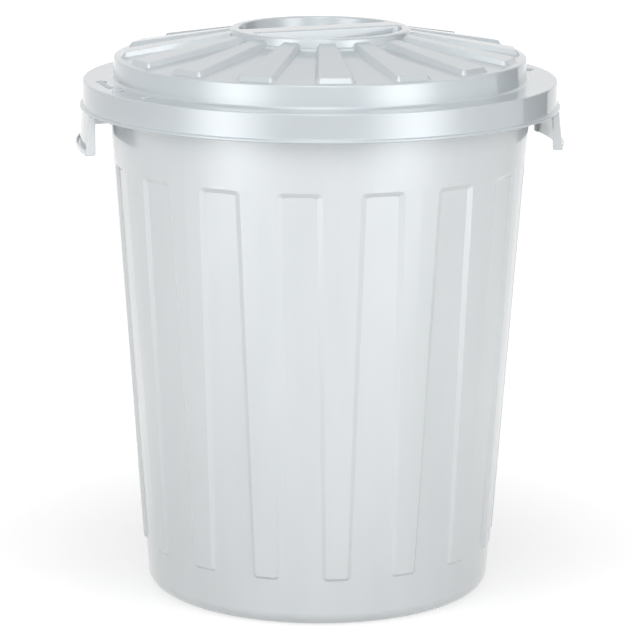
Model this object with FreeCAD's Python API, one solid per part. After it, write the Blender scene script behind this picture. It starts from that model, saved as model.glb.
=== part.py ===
import FreeCAD, Part
import math
import os

# A round plastic trash can: a ribbed tub, a twist-on lid with a sunken grip, and two side handles.
# Sizes are in millimetres. +Z is up, the origin is the centre of the foot on the floor,
# and the two handles lie on the X axis.

# Tub shell: its ribs and upper band stand out of a set-back wall
tub_height = 545.5
tub_lean = 38.1
tub_wall = 2.6
tub_floor = 3.2
tub_foot_round = 15.0
foot_ring_width = 22.0
foot_ring_depth = 4.0

# Ribs of the tub: flat width at both ends, and how they stand out
rib_count = 16
rib_top_width = 38.8
rib_end_width = 22.0
rib_end_height = 53.0
band_height = 83.0
relief_depth = 3.0
relief_bevel = 4.8
rib_end_bevel = 3.0
recess_corner = 6.2
rib_corner = 2.5

# Rim of the tub: a flange with a turned-down lip, notched for the lid's lugs
rim_reach = 22.0
rim_wall = 2.6
rim_lip_drop = 17.5
lug_count = 4
lug_width = 40.0
lug_height = 5.0
lug_reach = 4.4
lug_play = 2.0
lug_clearance = 1.0

# Lid: skirt with a small bead round its foot, flat ledge, upright cap wall and shallow cone
lid_wall = 2.5
lid_clearance = 1.5
skirt_radius = 249.9
skirt_drop = 29.3
bead_proud = 3.5
bead_height = 2.9
bead_round = 1.3
bead_slope = 0.5
bead_root_round = 0.8
ledge_width = 31.6
cap_lean = 1.1
cap_rise = 23.2
cone_rise = 17.8
ledge_round = 1.6
cap_foot_round = 3.0
cap_edge_round = 2.0

# Raised bars on the cone of the lid
bar_count = 16
bar_half_angle = 4.7
bar_inner_rise = 6.7
bar_end_rise = 4.5
bar_bevel = 3.7
bar_margin = 10.7
bar_corner = 2.0
bar_root_share = 0.3
lid_turn = -1.7

# Collar, finger dish and grip bar in the middle of the lid
collar_radius = 94.0
collar_lean = 2.0
collar_rise = 9.0
collar_edge_round = 1.8
ring_width = 5.0
ring_rise = 3.0
ring_round = 1.2
dish_radius = 86.0
dish_depth = 26.0
dish_draft = 8.0
dish_floor_round = 5.0
grip_width = 30.0
grip_draft = 4.0
grip_turn = 19.2

# Side handles: a leaning plate turned up to a lip at its foot, hung from a shelf, with a leg
# and an arm at each end
handle_half_angle = 13.6
handle_wall = 3.0
handle_drop = 40.8
handle_gap = 0.7
shelf_wall = 2.6
arm_wall = 3.0
arm_height = 8.6
arm_set_back = 6.0
plate_top_reach = 1.0
plate_lean = 2.3
knee_height = 11.8
foot_set_in = 0.8
lip_foot_reach = 7.4
lip_top_reach = 8.3
lip_height = 5.8
lip_wall = 1.9
lip_round = 0.8
trough_floor = 2.4
leg_wall = 4.0
leg_set_in = 2.9
leg_top_reach = 3.1
leg_foot_reach = 7.3
leg_round = 2.2

# Seats of the handles on the tub: a flat pad with two pockets for the handle's tongues
pad_proud = 2.4
pad_margin = 3.0
tongue_width = 16.0
tongue_spacing = 96.0
tongue_depth = 5.0
tongue_clearance = 0.3

# Cutting bodies run this far past what they cut
overrun = 1.0

# Heights and places worked out from the sizes above
full_turn = 360.0
half_turn = 180.0
rim_radius = skirt_radius - lid_wall - lid_clearance
tub_top_radius = rim_radius - rim_reach
taper = tub_lean / tub_height
recess_top_height = tub_height - band_height
ledge_height = tub_height + lid_wall
skirt_foot = ledge_height - skirt_drop
cap_foot_radius = skirt_radius - ledge_width
cap_top_radius = cap_foot_radius - cap_lean
cap_height = ledge_height + cap_rise
collar_foot_radius = collar_radius + collar_lean
ring_radius = collar_foot_radius + ring_width
ring_top = cap_height + cone_rise + ring_rise
lid_top = ring_top + collar_rise
cone_slope = cone_rise / (cap_top_radius - ring_radius)
bar_end_radius = cap_top_radius - bar_margin
shelf_top = skirt_foot - handle_gap
handle_foot = shelf_top - handle_drop
up = FreeCAD.Vector(0, 0, 1)
centre = FreeCAD.Vector(0, 0, 0)


def point(x, y, z):
    return FreeCAD.Vector(x, y, z)


def rounded_wire(corners, rounds):
    """Closed wire through the corners, each rounded by a tangent arc of its radius."""
    runs = []
    count = len(corners)
    for i in range(count):
        corner = corners[i]
        if rounds[i] <= 0:
            runs.append((corner, None, corner))
            continue
        back = (corners[i - 1] - corner).normalize()
        ahead = (corners[(i + 1) % count] - corner).normalize()
        half = back.getAngle(ahead) / 2
        reach = rounds[i] / math.tan(half)
        middle = corner + (back + ahead).normalize() * (rounds[i] / math.sin(half) - rounds[i])
        runs.append((corner + back * reach, middle, corner + ahead * reach))
    edges = []
    for i in range(count):
        start, middle, end = runs[i]
        if middle is not None:
            edges.append(Part.Arc(start, middle, end).toShape())
        edges.append(Part.makeLine(end, runs[(i + 1) % count][0]))
    return Part.Wire(edges)


def turned(corners, rounds):
    """Solid of revolution about the upright axis, from (radius, height) corners."""
    wire = rounded_wire([point(r, 0, z) for r, z in corners], rounds)
    return Part.Face(wire).revolve(centre, up, full_turn)


def turned_sector(corners, rounds, half_angle):
    """The same, turned only through half_angle to each side of the X axis."""
    face = Part.Face(rounded_wire([point(r, 0, z) for r, z in corners], rounds))
    face.rotate(centre, up, -half_angle)
    return face.revolve(centre, up, 2 * half_angle)


def round_copies(shape, count, start=0):
    """Copies of a shape, evenly spaced round the upright axis."""
    copies = []
    for i in range(count):
        copy = shape.copy()
        copy.rotate(centre, up, start + i * full_turn / count)
        copies.append(copy)
    return copies


def block(low, high):
    """Box between two opposite corners."""
    size = high - low
    return Part.makeBox(size.x, size.y, size.z, low)


def rib_radius(height):
    """Outer radius of the ribs and the upper band."""
    return tub_top_radius - taper * (tub_height - height)


def back_radius(height):
    """Outer radius of the set-back wall between the ribs."""
    return rib_radius(height) - relief_depth


# Tub


def rib_outline(level):
    """Outline of one rib, at a level counted outwards from its flat face."""
    top_spread = -level * relief_bevel / relief_depth
    end_spread = -level * rib_end_bevel / relief_depth
    end_half = rib_end_width / 2 + end_spread
    top_half = rib_top_width / 2 + top_spread
    flare_half = rib_top_width / 2 + 2 * recess_corner
    low = rib_end_height - end_spread
    high = recess_top_height - top_spread
    cover = recess_top_height + recess_corner
    end_sag = rib_end_width ** 2 / (8 * rib_radius(rib_end_height))
    top_sag = rib_top_width ** 2 / (8 * rib_radius(recess_top_height))
    flare_sag = flare_half ** 2 / (2 * rib_radius(recess_top_height))
    arch = high + (flare_sag - top_sag) * relief_bevel / relief_depth
    outline = [(-end_half, low), (end_half, low), (top_half, high), (flare_half, arch),
               (flare_half, cover), (-flare_half, cover), (-flare_half, arch), (-top_half, high)]
    rounds = [rib_corner + end_spread, rib_corner + end_spread, recess_corner - top_spread, 0,
              0, 0, 0, recess_corner - top_spread]
    corners = []
    for y, z in outline:
        share = (z - rib_end_height) / (recess_top_height - rib_end_height)
        sag = end_sag + share * (top_sag - end_sag)
        corners.append(point(rib_radius(z) - sag + level, y, z))
    return rounded_wire(corners, rounds)


def tub_ribs(inset):
    """The ribs as bevelled bars whose faces follow the tub's taper, set in by inset."""
    bar = Part.makeLoft([rib_outline(-relief_depth - overrun / 2), rib_outline(overrun)], True, True)
    bar.translate(point(-inset, 0, 0))
    low = rib_end_height - 2 * relief_bevel
    high = recess_top_height + recess_corner
    limit = Part.makeCone(rib_radius(low) - inset, rib_radius(high) - inset, high - low, point(0, 0, low))
    return round_copies(bar.common(limit), rib_count)


def tub_form(inset):
    """The tub as a full solid, or with an inset the space inside its walls."""
    step = recess_top_height - relief_bevel
    ring_outer = back_radius(0) - tub_foot_round
    ring_inner = ring_outer - foot_ring_width
    if inset == 0:
        floor = 0
        top = tub_height
    else:
        floor = tub_floor
        top = tub_height + overrun
    raised = floor + foot_ring_depth
    corners = [(0, raised), (ring_inner - foot_ring_depth, raised), (ring_inner, floor),
               (back_radius(floor) - inset, floor), (back_radius(step) - inset, step),
               (rib_radius(recess_top_height) - inset, recess_top_height),
               (rib_radius(top) - inset, top), (0, top)]
    rounds = [0, 0, 0, tub_foot_round - inset, 0, 0, 0, 0]
    return turned(corners, rounds).multiFuse(tub_ribs(inset)).removeSplitter()


def tub_rim():
    """Flange round the mouth with a lip turned down at its edge, open where the lugs pass."""
    inner = rib_radius(tub_height) - tub_wall / 2
    under = tub_height - rim_wall
    lip_foot = tub_height - rim_lip_drop
    corners = [(inner, under), (rim_radius - rim_wall, under), (rim_radius - rim_wall, lip_foot),
               (rim_radius, lip_foot), (rim_radius, tub_height), (inner, tub_height)]
    ring = turned(corners, [0, 0, 0, 0, rim_wall / 2, 0])
    lug_inner = skirt_radius - lid_wall - lug_reach - lug_clearance
    gap_half = lug_width / 2 + lug_play
    notch = block(point(lug_inner, -gap_half, lip_foot - overrun),
                  point(rim_radius + overrun, gap_half, tub_height + overrun))
    return ring.cut(Part.makeCompound(round_copies(notch, lug_count, half_turn / lug_count)))


def pad_face():
    """Distance of the handle pads' flat faces from the axis."""
    return rib_radius(shelf_top) + pad_proud


def pad_half_width():
    return pad_face() * math.tan(math.radians(handle_half_angle)) + pad_margin


def handle_pad():
    """Flat seat for one handle, with two pockets for its tongues."""
    half = pad_half_width()
    inner = math.sqrt(rib_radius(shelf_top - arm_height) ** 2 - half ** 2) - tub_wall / 2
    pad = block(point(inner, -half, shelf_top - arm_height), point(pad_face(), half, shelf_top))
    for side in (-1, 1):
        middle = side * tongue_spacing / 2
        half_slot = tongue_width / 2 + tongue_clearance
        pocket = block(point(pad_face() - tongue_depth - tongue_clearance, middle - half_slot,
                             shelf_top - shelf_wall - tongue_clearance),
                       point(pad_face() + overrun, middle + half_slot, shelf_top))
        pad = pad.cut(pocket)
    return pad


def make_tub():
    form = tub_form(0).multiFuse([tub_rim()] + round_copies(handle_pad(), 2))
    return form.cut(tub_form(tub_wall)).removeSplitter()


# Handles


def end_leg():
    """Upright leg that closes the end of a handle and stands proud of its plate."""
    inner = skirt_radius - leg_set_in
    outline = [(inner, shelf_top), (inner, handle_foot), (skirt_radius + leg_foot_reach, handle_foot),
               (skirt_radius + leg_top_reach, shelf_top)]
    wire = rounded_wire([point(x, -leg_wall / 2, z) for x, z in outline],
                        [0, leg_round, leg_round, leg_round])
    return Part.Face(wire).extrude(point(0, leg_wall, 0))


def side_arm(side):
    """Arm from the tub's pad to the plate, set back behind the leg of its end."""
    outer = skirt_radius + plate_top_reach - handle_wall / 2
    arm = block(point(pad_face() - pad_proud, -arm_wall / 2, shelf_top - arm_height),
                point(outer, arm_wall / 2, shelf_top))
    arm.rotate(centre, up, side * handle_half_angle)
    turn = math.radians(side * handle_half_angle)
    arm.translate(point(math.sin(turn), -math.cos(turn), 0) * side * arm_set_back)
    return arm


def make_handle():
    knee = handle_foot + knee_height
    floor = handle_foot + trough_floor
    lip_top = handle_foot + lip_height
    top_outer = skirt_radius + plate_top_reach
    knee_outer = top_outer + plate_lean
    foot_inner = knee_outer - handle_wall - foot_set_in
    lip_foot = skirt_radius + lip_foot_reach
    lip_edge = skirt_radius + lip_top_reach
    plate = turned_sector([(top_outer - handle_wall, shelf_top), (knee_outer - handle_wall, knee),
                           (foot_inner, handle_foot), (lip_foot, handle_foot),
                           (lip_edge, lip_top), (lip_edge - lip_wall, lip_top),
                           (lip_foot - lip_wall, floor), (foot_inner + handle_wall, floor),
                           (knee_outer, knee), (top_outer, shelf_top)],
                          [0, 0, lip_round, lip_round, lip_round, lip_round, lip_round, lip_round, 0, 0],
                          handle_half_angle)
    shelf_inner = rib_radius(shelf_top) * math.cos(math.radians(handle_half_angle))
    shelf_outer = top_outer - handle_wall / 2
    shelf_foot = shelf_top - shelf_wall
    shelf = turned_sector([(shelf_inner, shelf_foot), (shelf_outer, shelf_foot),
                           (shelf_outer, shelf_top), (shelf_inner, shelf_top)],
                          [0, 0, 0, 0], handle_half_angle)
    body = plate.fuse(shelf)
    for side in (-1, 1):
        leg = end_leg()
        leg.rotate(centre, up, side * handle_half_angle)
        body = body.fuse(leg).fuse(side_arm(side))
    behind = block(point(0, -skirt_radius, handle_foot - overrun),
                   point(pad_face(), skirt_radius, shelf_top + overrun))
    body = body.cut(behind)
    tongues = []
    for side in (-1, 1):
        middle = side * tongue_spacing / 2
        tongues.append(block(point(pad_face() - tongue_depth, middle - tongue_width / 2, shelf_foot),
                             point(pad_face() + handle_wall, middle + tongue_width / 2, shelf_top)))
    return body.multiFuse(tongues).removeSplitter()


# Lid


def cone_height(radius):
    """Height of the lid's cone at a distance from the axis."""
    return cap_height + cone_slope * (cap_top_radius - radius)


def bar_rise(radius):
    """Height of the raised bars over the cone at a distance from the axis."""
    share = (radius - collar_radius) / (bar_end_radius - collar_radius)
    return bar_inner_rise + share * (bar_end_rise - bar_inner_rise)


def lid_form():
    """Skirt, ledge, cap, cone and the ring round the collar as a full solid."""
    core = collar_radius - lid_wall
    lip_radius = skirt_radius + bead_proud
    corners = [(core, skirt_foot), (lip_radius, skirt_foot), (lip_radius, skirt_foot + bead_height),
               (skirt_radius, skirt_foot + bead_height + bead_slope), (skirt_radius, ledge_height),
               (cap_foot_radius, ledge_height), (cap_top_radius, cap_height),
               (ring_radius, cone_height(ring_radius)), (ring_radius - ring_round, ring_top),
               (core, ring_top)]
    rounds = [0, bead_round, bead_round, bead_root_round, ledge_round,
              cap_foot_round, cap_edge_round, ring_round, ring_round, 0]
    return turned(corners, rounds)


def lid_space():
    """The space under the lid, out to the inner faces of its walls."""
    core = collar_radius - 2 * lid_wall
    foot = skirt_foot - overrun
    inner = skirt_radius - lid_wall
    roof = ledge_height - lid_wall
    corners = [(core, foot), (inner, foot), (inner, roof), (cap_foot_radius - lid_wall, roof),
               (cap_top_radius - lid_wall, cap_height - lid_wall), (core, cone_height(core) - lid_wall)]
    return turned(corners, [0, 0, 0, cap_foot_round, 0, 0])


def bar_outline(share, inner):
    """Outline of one raised bar, at a share of the way down from its flat top to the cone."""
    spread = share * bar_bevel
    slant = math.tan(math.radians(bar_half_angle))
    outer = bar_end_radius + spread
    outline = [(inner, -inner * slant - spread), (outer, -outer * slant - spread),
               (outer, outer * slant + spread), (inner, inner * slant + spread)]
    rounds = [0, bar_corner + spread, bar_corner + spread, 0]
    corners = [point(x, y, cone_height(x) + bar_rise(x) * (1 - share)) for x, y in outline]
    return rounded_wire(corners, rounds)


def lid_bars(inner, drop):
    """The raised bars, or with a drop the hollows under them."""
    bar = Part.makeLoft([bar_outline(1 + bar_root_share, inner), bar_outline(0, inner)], True, True)
    bar.translate(point(0, 0, -drop))
    return round_copies(bar, bar_count, lid_turn)


def finger_wells(grow):
    """The two sunken halves of the dish each side of the grip bar, grown by a wall outside."""
    floor = lid_top - dish_depth - grow
    mouth = lid_top
    bowl = Part.makeCone(dish_radius - dish_draft + grow, dish_radius + grow, mouth - floor,
                         point(0, 0, floor))
    top_half = grip_width / 2 - grow
    foot_half = grip_width / 2 + grip_draft - grow
    side = dish_radius + grow + overrun
    outline = [(-foot_half, floor), (foot_half, floor), (top_half, mouth), (-top_half, mouth)]
    wire = rounded_wire([point(-side, y, z) for y, z in outline], [0, 0, 0, 0])
    grip = Part.Face(wire).extrude(point(2 * side, 0, 0))
    wells = []
    for well in bowl.cut(grip).Solids:
        standing = [edge for edge in well.Edges if edge.BoundBox.ZLength > dish_depth / 2]
        well = well.makeFillet(dish_floor_round + grow, standing)
        low_edges = [edge for edge in well.Edges if edge.BoundBox.ZMax < floor + overrun / 2]
        wells.append(well.makeFillet(dish_floor_round + grow, low_edges))
    for well in wells:
        well.rotate(centre, up, lid_turn + grip_turn)
    return wells


def lid_crown():
    """Collar with the finger dish sunk into it, its upper edges eased."""
    foot = lid_top - dish_depth - lid_wall
    crown = turned([(0, foot), (collar_radius, foot), (collar_radius, ring_top - ring_rise),
                    (collar_foot_radius, ring_top - ring_rise), (collar_foot_radius, ring_top),
                    (collar_radius, lid_top), (0, lid_top)], [0, 0, 0, 0, 0, 0, 0])
    for well in finger_wells(0):
        crown = crown.cut(well)
    rim_edges = [edge for edge in crown.Edges if edge.BoundBox.ZMin > lid_top - overrun / 2]
    return crown.makeFillet(collar_edge_round, rim_edges)


def lid_lugs():
    """Lugs inside the skirt that turn under the rim's lip to lock the lid."""
    inner = skirt_radius - lid_wall - lug_reach
    outer = skirt_radius - lid_wall / 2
    top = tub_height - rim_lip_drop - lug_clearance
    ring = Part.makeCylinder(outer, lug_height, point(0, 0, top - lug_height))
    ring = ring.cut(Part.makeCylinder(inner, lug_height, point(0, 0, top - lug_height)))
    cutter = block(point(0, -lug_width / 2, top - lug_height), point(skirt_radius, lug_width / 2, top))
    return round_copies(ring.common(cutter), lug_count, half_turn / lug_count)


def make_lid():
    form = lid_form().multiFuse([lid_crown()] + lid_bars(collar_radius - collar_edge_round, 0))
    space = lid_space()
    under = Part.makeCylinder(collar_radius - lid_wall, lid_top - lid_wall - skirt_foot + overrun,
                              point(0, 0, skirt_foot - overrun))
    space = space.multiFuse([under] + lid_bars(ring_radius + lid_wall, lid_wall))
    for well in finger_wells(lid_wall):
        space = space.cut(well)
    return form.cut(space).multiFuse(lid_lugs()).removeSplitter()


# Finished pieces, one file each
os.makedirs("parts", exist_ok=True)
right_handle = make_handle()
left_handle = right_handle.copy()
left_handle.rotate(centre, up, half_turn)
pieces = {
    "tub": make_tub(),
    "lid": make_lid(),
    "left_handle": left_handle,
    "right_handle": right_handle,
}
for name, shape in pieces.items():
    shape.exportStep("parts/" + name + ".step")
    box = shape.optimalBoundingBox(False, False)
    print(name, "valid", shape.isValid(), "solids", len(shape.Solids), "volume", round(shape.Volume),
          "z", round(box.ZMin, 2), round(box.ZMax, 2), "x", round(box.XMin, 2), round(box.XMax, 2))
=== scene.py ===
import bmesh
import bpy
import math
from mathutils import Matrix, Vector


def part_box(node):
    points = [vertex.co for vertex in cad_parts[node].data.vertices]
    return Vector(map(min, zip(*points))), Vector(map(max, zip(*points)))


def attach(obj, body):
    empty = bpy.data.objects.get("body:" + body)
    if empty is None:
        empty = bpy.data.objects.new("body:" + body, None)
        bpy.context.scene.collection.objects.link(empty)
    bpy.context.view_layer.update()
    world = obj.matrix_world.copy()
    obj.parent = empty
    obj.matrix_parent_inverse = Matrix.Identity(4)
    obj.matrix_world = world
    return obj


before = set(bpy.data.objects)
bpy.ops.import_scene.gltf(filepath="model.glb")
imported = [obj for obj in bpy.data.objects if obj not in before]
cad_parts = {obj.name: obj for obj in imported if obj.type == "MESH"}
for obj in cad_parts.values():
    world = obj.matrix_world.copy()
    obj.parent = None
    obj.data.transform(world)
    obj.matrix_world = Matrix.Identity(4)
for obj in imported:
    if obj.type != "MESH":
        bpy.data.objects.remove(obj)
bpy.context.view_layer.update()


# Tub: one deep injection moulding in silver-grey polypropylene. Its floor, its tapered wall
# with ribs standing out of set-back panels, and its turned-out rim come out of the mould together.
def srgb(code):
    """Linear colour of an sRGB hex value."""
    parts = [int(code[i:i + 2], 16) / 255 for i in (1, 3, 5)]
    return [c / 12.92 if c <= 0.04045 else ((c + 0.055) / 1.055) ** 2.4 for c in parts] + [1.0]


def add_node(tree, kind, settings=None, links=None):
    """One node in a tree, with its settings and its (from node, output) links."""
    node = tree.nodes.new(kind)
    for name, value in (settings or {}).items():
        if isinstance(name, int) or name in node.inputs:
            node.inputs[name].default_value = value
        else:
            setattr(node, name, value)
    for name, (source, output) in (links or {}).items():
        tree.links.new(source.outputs[output], node.inputs[name])
    return node


def new_material(name, settings):
    """A new material, its node tree, and its shader with the settings that are the same all over."""
    material = bpy.data.materials.new(name)
    material.use_nodes = True
    shader = material.node_tree.nodes["Principled BSDF"]
    for socket, value in settings.items():
        shader.inputs[socket].default_value = value
    return material, material.node_tree, shader


def dress(name, material):
    """Gives a CAD node one material all over."""
    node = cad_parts[name]
    node.data.materials.clear()
    node.data.materials.append(material)


# Satin moulded polypropylene: fine aluminium flake in the melt gives a cool silver shade that is deeper
# in some flows than in others, so faint upright clouds show under a smooth skin with a fine grain.
satin_plastic, tree, satin = new_material("satin_moulded_polypropylene", {
    "IOR": 1.49, "Metallic": 0.20, "Specular IOR Level": 0.2, "Coat Weight": 1.0, "Coat Roughness": 0.05})
satin_shades = ("#E2E7E9", "#E8ECEE")
shade_span = (0.3, 0.7)         # noise values at which the deeper and the lighter shade are reached
satin_cloud_mm = 60.0
satin_cloud_stretch = 0.22      # clouds are drawn out upwards, as the melt flows up from the floor
satin_grain_mm = 2.2            # real grain is about 0.3 mm, drawn coarser so that it shows
satin_edge_mm = 0.8             # rounding that the mould leaves on every edge
place = add_node(tree, "ShaderNodeTexCoord")
upright = add_node(tree, "ShaderNodeMapping", {"Scale": (1.0, 1.0, satin_cloud_stretch)},
                   {"Vector": (place, "Object")})
cloud = add_node(tree, "ShaderNodeTexNoise",
                 {"Scale": 1000 / satin_cloud_mm, "Detail": 3.0, "Roughness": 0.55},
                 {"Vector": (upright, "Vector")})
grain = add_node(tree, "ShaderNodeTexNoise",
                 {"Scale": 1000 / satin_grain_mm, "Detail": 2.0, "Roughness": 0.6},
                 {"Vector": (place, "Object")})
shade = add_node(tree, "ShaderNodeValToRGB", {}, {"Fac": (cloud, "Fac")})
for stop, position, colour in zip(shade.color_ramp.elements, shade_span, satin_shades):
    stop.position = position
    stop.color = srgb(colour)
sheen = add_node(tree, "ShaderNodeMapRange", {"To Min": 0.31, "To Max": 0.37}, {"Value": (cloud, "Fac")})
soft_edge = add_node(tree, "ShaderNodeBevel", {"samples": 10, "Radius": satin_edge_mm / 1000})
skin = add_node(tree, "ShaderNodeBump", {"Strength": 0.10, "Distance": 0.0002},
                {"Height": (grain, "Fac"), "Normal": (soft_edge, "Normal")})
tree.links.new(shade.outputs["Color"], satin.inputs["Base Color"])
tree.links.new(sheen.outputs["Result"], satin.inputs["Roughness"])
tree.links.new(skin.outputs["Normal"], satin.inputs["Normal"])
tree.links.new(skin.outputs["Normal"], satin.inputs["Coat Normal"])
dress("tub", satin_plastic)


# Side handles: two grips in the tub's own satin polypropylene. Each is a plate turned up to a lip at its
# foot, hung from a shelf, with a leg and an arm at each end and tongues pushed into seats under the rim.
for name in ("left_handle", "right_handle"):
    dress(name, satin_plastic)


# Lid: one polished injection moulding in the same silver grey, with a skirt beaded at its foot, a flat
# ledge, a raised cap with sixteen radial bars and a sunken grip. It sits loose over the tub's rim.

# Gloss moulded polypropylene: a polished mould gives mirror-like highlights that ripple
# a little where the wall has shrunk, over the same flaked silver grey as the tub.
gloss_plastic, tree, gloss = new_material("gloss_moulded_polypropylene", {
    "IOR": 1.49, "Metallic": 0.18, "Specular IOR Level": 0.2,
    "Coat Weight": 1.0, "Coat Roughness": 0.04, "Coat IOR": 1.58})
gloss_shades = ("#CAD1D5", "#CED5D9")
gloss_cloud_mm = 70.0
gloss_ripple_mm = 28.0
gloss_edge_mm = 1.2
place = add_node(tree, "ShaderNodeTexCoord")
cloud = add_node(tree, "ShaderNodeTexNoise",
                 {"Scale": 1000 / gloss_cloud_mm, "Detail": 3.0, "Roughness": 0.55},
                 {"Vector": (place, "Object")})
ripple = add_node(tree, "ShaderNodeTexNoise",
                  {"Scale": 1000 / gloss_ripple_mm, "Detail": 1.0, "Roughness": 0.4},
                  {"Vector": (place, "Object")})
shade = add_node(tree, "ShaderNodeValToRGB", {}, {"Fac": (cloud, "Fac")})
for stop, position, colour in zip(shade.color_ramp.elements, shade_span, gloss_shades):
    stop.position = position
    stop.color = srgb(colour)
sheen = add_node(tree, "ShaderNodeMapRange", {"To Min": 0.33, "To Max": 0.39}, {"Value": (cloud, "Fac")})
soft_edge = add_node(tree, "ShaderNodeBevel", {"samples": 6, "Radius": gloss_edge_mm / 1000})
skin = add_node(tree, "ShaderNodeBump", {"Strength": 0.12, "Distance": 0.0006},
                {"Height": (ripple, "Fac"), "Normal": (soft_edge, "Normal")})
tree.links.new(shade.outputs["Color"], gloss.inputs["Base Color"])
tree.links.new(sheen.outputs["Result"], gloss.inputs["Roughness"])
tree.links.new(skin.outputs["Normal"], gloss.inputs["Normal"])
tree.links.new(skin.outputs["Normal"], gloss.inputs["Coat Normal"])
dress("lid", gloss_plastic)


# Turn marks: a curved arrow and two short index ribs on the ledge, and the same again across the lid.
# They are cut into the lid's mould, so they are its own plastic, and the arrows' faces are left dull.
skirt_drop = 0.0293
ledge_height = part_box("lid")[0][2] + skirt_drop
mark_seat = 0.0003              # how far a mark reaches down into the ledge
arrow_rise = 0.0006
arrow_radius = 0.232
arrow_width = 0.0058
arrow_sweep = math.radians(10.6)
arrow_steps = 14
head_width = 0.0130
head_flare = 0.0012
head_length = 0.0090
same_point = arrow_width / 1000
rib_rise = 0.0021
rib_width = 0.0036
rib_radius = 0.234
rib_length = 0.0120
rib_taper = (0.92, 0.6, 1.0)    # share of the length and the width left at the top of a rib


def select_points(piece, wanted):
    """Selects those points of a piece in edit mode whose place is wanted."""
    bpy.ops.mesh.select_all(action="DESELECT")
    cage = bmesh.from_edit_mesh(piece.data)
    for corner in cage.verts:
        corner.select = wanted(corner.co)
    cage.select_flush(True)
    bmesh.update_edit_mesh(piece.data)


def apply_modifier(piece, kind, **settings):
    """Adds a modifier to a piece with its settings and applies it."""
    step = piece.modifiers.new(kind.lower(), kind)
    for name, value in settings.items():
        setattr(step, name, value)
    bpy.ops.object.modifier_apply(modifier=step.name)


def copy_turned(piece, name, turn):
    """Copy of a piece with its own mesh, turned about the lid's axis by degrees."""
    bpy.ops.object.select_all(action="DESELECT")
    piece.select_set(True)
    bpy.context.view_layer.objects.active = piece
    bpy.ops.object.duplicate(linked=False)
    twin = bpy.context.object
    twin.name = name
    twin.rotation_euler.z = math.radians(turn)
    bpy.ops.object.transform_apply(location=True, rotation=True, scale=True)
    return twin


# The arrow starts as one edge across its shaft, is spun along the ledge, and its head is drawn out
bpy.ops.object.select_all(action="DESELECT")
arrow_middle = ledge_height + (arrow_rise - mark_seat) / 2
bpy.ops.mesh.primitive_plane_add(size=arrow_width, location=(arrow_radius, 0, arrow_middle))
arrow = bpy.context.object
bpy.ops.object.transform_apply(location=True, rotation=True, scale=True)
bpy.ops.object.mode_set(mode="EDIT")
select_points(arrow, lambda place: place.y > 0)
bpy.ops.mesh.delete(type="VERT")
bpy.ops.mesh.select_all(action="SELECT")
bpy.ops.transform.translate(value=(0, arrow_width / 2, 0))
bpy.ops.mesh.spin(steps=arrow_steps, angle=-arrow_sweep, center=(0, 0, 0), axis=(0, 0, 1))
select_points(arrow, lambda place: abs(place.y) < same_point)
bpy.ops.mesh.extrude_edges_move(TRANSFORM_OT_translate={"value": (0, -head_flare, 0)})
bpy.ops.transform.resize(value=(head_width / arrow_width, 1, 1),
                         center_override=(arrow_radius, -head_flare, arrow_middle))
bpy.ops.mesh.extrude_edges_move(TRANSFORM_OT_translate={"value": (0, -head_length, 0)})
bpy.ops.mesh.merge(type="CENTER")
bpy.ops.mesh.select_all(action="SELECT")
bpy.ops.mesh.remove_doubles(threshold=same_point)
bpy.ops.mesh.normals_make_consistent(inside=False)
bpy.ops.object.mode_set(mode="OBJECT")
apply_modifier(arrow, "SOLIDIFY", thickness=arrow_rise + mark_seat, offset=0.0)
apply_modifier(arrow, "BEVEL", width=arrow_rise / 3, segments=2, limit_method="ANGLE")

# The index rib is a bar along the radius, narrowed upwards so that it leaves the mould, with rounded edges
bpy.ops.object.select_all(action="DESELECT")
rib_middle = ledge_height + (rib_rise - mark_seat) / 2
bpy.ops.mesh.primitive_cube_add(size=1.0, location=(rib_radius, 0, rib_middle),
                                scale=(rib_length, rib_width, rib_rise + mark_seat))
index_rib = bpy.context.object
bpy.ops.object.transform_apply(location=True, rotation=True, scale=True)
bpy.ops.object.mode_set(mode="EDIT")
select_points(index_rib, lambda place: place.z > ledge_height)
bpy.ops.transform.resize(value=rib_taper, center_override=(rib_radius, 0, ledge_height))
bpy.ops.mesh.select_all(action="DESELECT")
bpy.ops.object.mode_set(mode="OBJECT")
apply_modifier(index_rib, "BEVEL", width=rib_width / 5, segments=3, limit_method="ANGLE")

# Spark-eroded polypropylene: the mould is pitted here, so the plastic comes out dull and
# looks darker than the polished ledge round it, which mirrors the bright studio.
dull_plastic, tree, dull = new_material("spark_eroded_polypropylene", {"IOR": 1.49})
dull_shades = ("#CBD2D6", "#D1D8DC")
dull_pit_mm = 0.9               # real pits are about 0.1 mm, drawn coarser so that they show
place = add_node(tree, "ShaderNodeTexCoord")
pits = add_node(tree, "ShaderNodeTexNoise",
                {"Scale": 1000 / dull_pit_mm, "Detail": 2.0, "Roughness": 0.6},
                {"Vector": (place, "Object")})
shade = add_node(tree, "ShaderNodeValToRGB", {}, {"Fac": (pits, "Fac")})
for stop, position, colour in zip(shade.color_ramp.elements, shade_span, dull_shades):
    stop.position = position
    stop.color = srgb(colour)
sheen = add_node(tree, "ShaderNodeMapRange", {"To Min": 0.28, "To Max": 0.36}, {"Value": (pits, "Fac")})
skin = add_node(tree, "ShaderNodeBump", {"Strength": 0.3, "Distance": 0.0002}, {"Height": (pits, "Fac")})
tree.links.new(shade.outputs["Color"], dull.inputs["Base Color"])
tree.links.new(sheen.outputs["Result"], dull.inputs["Roughness"])
tree.links.new(skin.outputs["Normal"], dull.inputs["Normal"])
arrow.data.materials.append(dull_plastic)
index_rib.data.materials.append(gloss_plastic)

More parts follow.
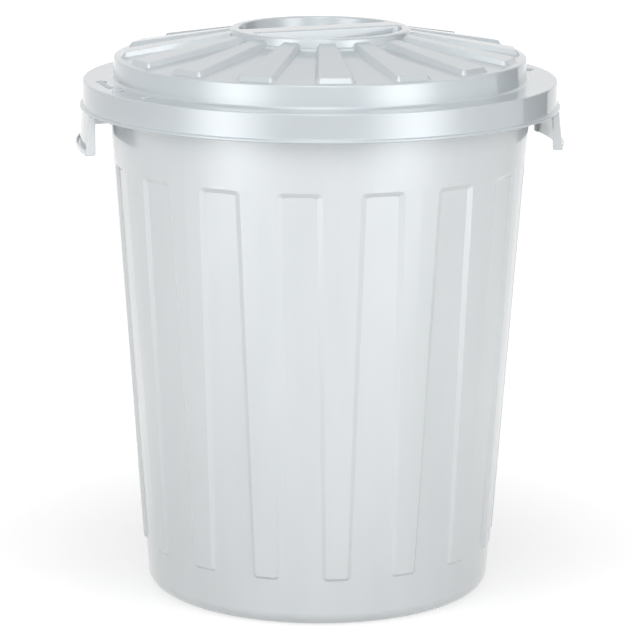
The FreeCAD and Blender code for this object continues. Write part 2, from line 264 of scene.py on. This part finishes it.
# Places of the marks, in degrees round the lid
head_turn = 185.1
first_rib_turn = 201.6
second_rib_turn = 215.3
across = 185.3
marks = []
for side, turn in (("left", 0.0), ("right", across)):
    marks += [
        copy_turned(arrow, f"{side}_turn_arrow", head_turn + turn),
        copy_turned(index_rib, f"{side}_index_rib_1", first_rib_turn + turn),
        copy_turned(index_rib, f"{side}_index_rib_2", second_rib_turn + turn),
    ]
for pattern in (arrow, index_rib):
    bpy.data.objects.remove(pattern)
for mark in marks:
    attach(mark, "lid")


# Floor: a wide sheet of pale matt studio paper that the can stands on. A painted glow lifts it to white
# for the eye and for reflections. The glow is weaker close to the can, which paints shade round its foot
# in which the can's real shadow shows.
floor_size = 40.0
# Painted shade: the glow is weaker inside these distances, so the floor round the can's foot is darker
lift_radii = (0.18, 0.80)       # the lift grows between these distances from the can's axis
lift_levels = (0.66, 0.97)
bpy.ops.object.select_all(action="DESELECT")
bpy.ops.mesh.primitive_plane_add(size=floor_size, location=(0, 0, 0))
floor = bpy.context.object
floor.name = "floor"


def seen_rays(tree):
    """Node that is 1 for rays from the camera, a gloss or a clear piece, and 0 for those of soft light."""
    rays = add_node(tree, "ShaderNodeLightPath")
    seen = add_node(tree, "ShaderNodeMath", {"operation": "MAXIMUM"},
                    {0: (rays, "Is Camera Ray"), 1: (rays, "Is Glossy Ray")})
    return add_node(tree, "ShaderNodeMath", {"operation": "MAXIMUM"},
                    {0: (seen, 0), 1: (rays, "Is Transmission Ray")})


# Matt studio paper: no gloss at all, so only its shade, its painted glow and the shadow on it show
floor_paper, tree, paper = new_material("matt_studio_paper", {
    "Base Color": srgb("#B4B4B4"), "Roughness": 1.0, "Specular IOR Level": 0.0,
    "Emission Color": srgb("#FFFFFF")})
place = add_node(tree, "ShaderNodeTexCoord")
away = add_node(tree, "ShaderNodeVectorMath", {"operation": "LENGTH"}, {0: (place, "Object")})
# Painted glow that grows away from the can, so the floor is painted darker close to its foot, for the eye
# and in reflections
glow = add_node(tree, "ShaderNodeMapRange",
                {"From Min": lift_radii[0], "From Max": lift_radii[1],
                 "To Min": lift_levels[0], "To Max": lift_levels[1]},
                {"Value": (away, "Value")})
lift = add_node(tree, "ShaderNodeMath", {"operation": "MULTIPLY"},
                {0: (seen_rays(tree), 0), 1: (glow, "Result")})
tree.links.new(lift.outputs[0], paper.inputs["Emission Strength"])
floor.data.materials.append(floor_paper)


# Backdrop: the white surroundings of the studio. The eye and the gloss see them as pure white,
# and a small share of that falls on the can as soft light from all round.
backdrop_share = 0.21
world = bpy.data.worlds.new("white_studio")
bpy.context.scene.world = world
world.use_nodes = True
tree = world.node_tree
ambient = tree.nodes["Background"]
ambient.inputs["Color"].default_value = srgb("#FFFFFF")
ambient.inputs["Strength"].default_value = backdrop_share
backdrop = add_node(tree, "ShaderNodeBackground", {"Color": srgb("#FFFFFF"), "Strength": 1.0})
either = add_node(tree, "ShaderNodeMixShader", {},
                  {0: (seen_rays(tree), 0), 1: (ambient, "Background"), 2: (backdrop, "Background")})
tree.links.new(either.outputs[0], tree.nodes["World Output"].inputs["Surface"])


# Lamps: a tall strip on each side of the camera draws the two bright columns on the can,
# and a front box and a top box fill the rest. Each is a soft box with a cloth front.
view_turn = -6.02               # where the camera stands, in degrees from the can's front
cloth_sides = (0.5,)            # share of a cloth's width at which it is brightest
cloth_ends = (0.12, 0.88)       # shares of its height between which it is fully lit
strip_turn = 43.0
strip_reach = 1.55
strip_middle = 0.86
strip_width = 1.50
strip_height = 1.68


def around(turn, reach, height):
    """Place at a turn from the camera's side, at a distance from the can's axis."""
    angle = math.radians(turn + view_turn)
    return Vector((reach * math.sin(angle), -reach * math.cos(angle), height))


def soft_box(name, place, aim_height, width, height, watts):
    """Area lamp aimed at the can's axis, whose cloth fades out to its sides and ends."""
    lamp = bpy.data.lights.new(name, "AREA")
    lamp.shape = "RECTANGLE"
    lamp.size = width
    lamp.size_y = height
    lamp.energy = watts
    lamp.use_nodes = True
    tree = lamp.node_tree
    surface = add_node(tree, "ShaderNodeNewGeometry")
    spot = add_node(tree, "ShaderNodeSeparateXYZ", {}, {"Vector": (surface, "Parametric")})
    sides = add_node(tree, "ShaderNodeValToRGB", {}, {"Fac": (spot, "X")})
    ends = add_node(tree, "ShaderNodeValToRGB", {}, {"Fac": (spot, "Y")})
    for fade, brightest in ((sides, cloth_sides), (ends, cloth_ends)):
        fade.color_ramp.interpolation = "EASE"
        for edge in fade.color_ramp.elements:
            edge.color = srgb("#000000")
        for share in brightest:
            fade.color_ramp.elements.new(share).color = srgb("#FFFFFF")
    cloth = add_node(tree, "ShaderNodeMath", {"operation": "MULTIPLY"},
                     {0: (sides, "Color"), 1: (ends, "Color")})
    tree.links.new(cloth.outputs[0], tree.nodes["Emission"].inputs["Strength"])
    holder = bpy.data.objects.new(name, lamp)
    bpy.context.scene.collection.objects.link(holder)
    holder.location = place
    holder.rotation_euler = (Vector((0, 0, aim_height)) - place).to_track_quat("-Z", "Y").to_euler()
    holder.visible_camera = False


for name, turn, watts in (("left_strip", -strip_turn, 22.5), ("right_strip", strip_turn, 23.0)):
    soft_box(name, around(turn, strip_reach, strip_middle), aim_height=strip_middle,
             width=strip_width, height=strip_height, watts=watts)
soft_box("front_box", around(turn=0.0, reach=2.05, height=1.75), aim_height=0.3,
         width=2.0, height=1.8, watts=16.0)
soft_box("top_box", around(turn=0.0, reach=0.7, height=2.9), aim_height=0.5,
         width=1.8, height=1.4, watts=27.0)


# Flag: a grey cloth on a frame at the right, beyond the camera's view. The lid mirrors it as a darker
# band towards the right end of its skirt and cap, and it throws no shadow.
flag_turn = 124.0
flag_reach = 2.4
flag_middle = 0.9
flag_width = 1.2
flag_height = 2.4
bpy.ops.object.select_all(action="DESELECT")
bpy.ops.mesh.primitive_plane_add(size=1.0, location=(0, 0, 0))
flag = bpy.context.object
flag.name = "right_flag"
flag.scale = (flag_width, flag_height, 1.0)
flag.location = around(flag_turn, flag_reach, flag_middle)
flag.rotation_euler = (Vector((0, 0, flag_middle)) - flag.location).to_track_quat("Z", "Y").to_euler()
flag.visible_camera = False
flag.visible_shadow = False

# Grey studio cloth: loosely woven and matt, so it shows as one even shade
grey_cloth = new_material("grey_studio_cloth", {"Base Color": srgb("#BEC1C4"), "Roughness": 1.0})[0]
flag.data.materials.append(grey_cloth)


# Camera: a long lens far off, well above the lid and turned a few degrees towards the left handle,
# which is the photograph's own viewing angle.
camera_place = (-0.36827, -3.50384, 1.06997)
camera_drop = 0.21911           # radians that the lens points below level
camera_roll = 0.00501
camera = bpy.data.cameras.new("camera")
camera.sensor_width = 36.0
camera.lens = 189.41
camera_holder = bpy.data.objects.new("camera", camera)
bpy.context.scene.collection.objects.link(camera_holder)
facing = Matrix.Rotation(math.radians(view_turn), 4, "Z")
tipping = Matrix.Rotation(math.pi / 2 - camera_drop, 4, "X")
rolling = Matrix.Rotation(camera_roll, 4, "Z")
camera_holder.matrix_world = Matrix.Translation(camera_place) @ facing @ tipping @ rolling
bpy.context.scene.camera = camera_holder
bpy.context.scene.view_settings.view_transform = "Standard"
